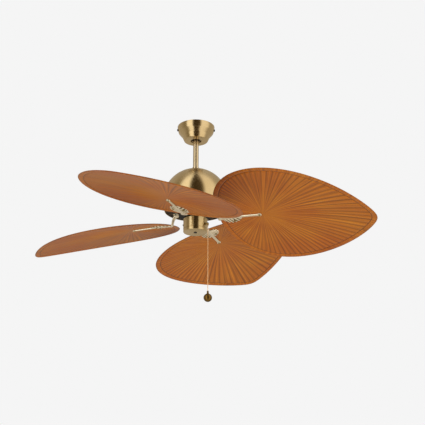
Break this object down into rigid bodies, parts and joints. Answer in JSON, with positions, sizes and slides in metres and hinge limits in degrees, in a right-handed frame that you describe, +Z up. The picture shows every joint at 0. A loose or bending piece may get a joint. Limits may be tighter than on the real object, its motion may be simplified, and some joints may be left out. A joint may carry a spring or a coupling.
{
  "type": "ceiling fan",
  "caption": "Ceiling fan with broad pleated leaf blades, brushed antique brass canopy, short downrod, domed motor cover, switch housing and a pull cord with a round knob.",
  "frame": {"origin": "centre of the hanger bracket's two box-screw slots, in the ceiling plane on the fan's axis", "axes": "+Z up into the ceiling; +X along the bracket's strap; the pull cord hangs at +X, -Y"},
  "size_m": [1.2574, 1.2574, 0.7015],
  "materials": {
    "spun_brass": "spun, brushed round the axis, antique lacquer",
    "brass_tube": "drawn tube, brushed along its length, antique lacquer",
    "turned_brass": "turned, satin",
    "knob_brass": "turned, dark antique lacquer",
    "cast_brass": "cast, antique brass plating, rubbed on the high spots",
    "brass_screw": "plated pan-head screws",
    "dark_screw": "black oxide",
    "green_screw": "green passivated earth screw",
    "zinc_steel": "zinc plated pressed steel",
    "dark_plate": "dark bronze paint, satin",
    "black_casting": "black e-coat, satin",
    "black_aluminium": "die cast aluminium, black satin coat",
    "cast_aluminium": "as cast",
    "laminated_steel": "stacked laminations, varnished",
    "copper_wire": "enamelled copper winding",
    "bearing_steel": "ground",
    "leaf_resin": "moulded resin, pleated, wood-brown glaze",
    "cotton_cord": "twisted cotton",
    "moulded_nylon": "moulded",
    "black_plastic": "moulded",
    "capacitor_case": "moulded",
    "lead_jacket": "extruded jacket"
  },
  "bodies": {
    "mount": {"hanger_bracket": "zinc_steel", "canopy": "spun_brass", "canopy_screws": "dark_screw", "terminal_block": "moulded_nylon", "supply_leads": "lead_jacket", "ground_screw": "green_screw"},
    "ball_seat": {"seat_liner": "moulded_nylon"},
    "hanger": {"hanger_ball": "black_casting", "downrod": "brass_tube", "rod_pin": "zinc_steel", "ball_set_screw": "dark_screw", "yoke": "brass_tube", "yoke_pin": "zinc_steel", "yoke_clip": "zinc_steel", "yoke_set_screws": "dark_screw", "rod_leads": "lead_jacket", "motor_cover": "spun_brass", "cover_screws": "brass_screw", "vent_plate": "dark_plate", "motor_shaft": "bearing_steel", "stator_core": "laminated_steel", "stator_windings": "copper_wire", "upper_bearing_inner": "bearing_steel", "lower_bearing_inner": "bearing_steel", "housing_plate": "spun_brass", "shaft_nuts": "zinc_steel", "switch_housing": "spun_brass", "housing_screws": "dark_screw", "bottom_cap": "spun_brass", "cap_plug": "dark_screw", "capacitor": "capacitor_case", "pull_switch": "moulded_nylon", "pull_ferrule": "turned_brass", "reverse_switch": "moulded_nylon"},
    "rotor": {"rotor_case_top": "cast_aluminium", "rotor_case_bottom": "cast_aluminium", "case_screws": "zinc_steel", "rotor_ring": "laminated_steel", "upper_bearing_outer": "bearing_steel", "upper_bearing_balls": "bearing_steel", "lower_bearing_outer": "bearing_steel", "lower_bearing_balls": "bearing_steel", "flywheel": "black_aluminium", "flywheel_screws": "zinc_steel", "blade_1": "leaf_resin", "blade_2": "leaf_resin", "blade_3": "leaf_resin", "blade_4": "leaf_resin", "blade_iron_1": "cast_brass", "blade_iron_2": "cast_brass", "blade_iron_3": "cast_brass", "blade_iron_4": "cast_brass", "blade_screws": "brass_screw", "iron_screws": "dark_screw"},
    "pull": {"pull_cord": "cotton_cord", "pull_knob": "knob_brass"},
    "lever": {"pull_lever": "moulded_nylon"},
    "slider": {"reverse_slider": "black_plastic"}
  },
  "joints": [
    {"name": "tilt_side", "type": "hinge", "parent": "mount", "child": "ball_seat", "pos_m": [0, 0, -0.036], "axis": [1, 0, 0], "range_deg": [-10, 10]},
    {"name": "tilt_front", "type": "hinge", "parent": "ball_seat", "child": "hanger", "pos_m": [0, 0, -0.036], "axis": [0, 1, 0], "range_deg": [-10, 10]},
    {"name": "fan_spin", "type": "hinge", "parent": "hanger", "child": "rotor", "pos_m": [0, 0, -0.2862], "axis": [0, 0, 1], "continuous": true},
    {"name": "pull", "type": "slide", "parent": "hanger", "child": "pull", "axis": [0, 0, -1], "range_m": [0, 0.006], "stiffness_N_per_m": 300, "springref_m": -0.02},
    {"name": "lever_turn", "type": "hinge", "parent": "hanger", "child": "lever", "pos_m": [0.02346, -0.01705, -0.399], "axis": [-0.5878, -0.809, 0], "range_deg": [0, 20.01]},
    {"name": "reverse", "type": "slide", "parent": "hanger", "child": "slider", "axis": [-1, 0, 0], "range_m": [0, 0.006]}
  ],
  "couplings": [
    {"joint": "lever_turn", "follows": "pull", "rad_per_m": 58.178}
  ]
}
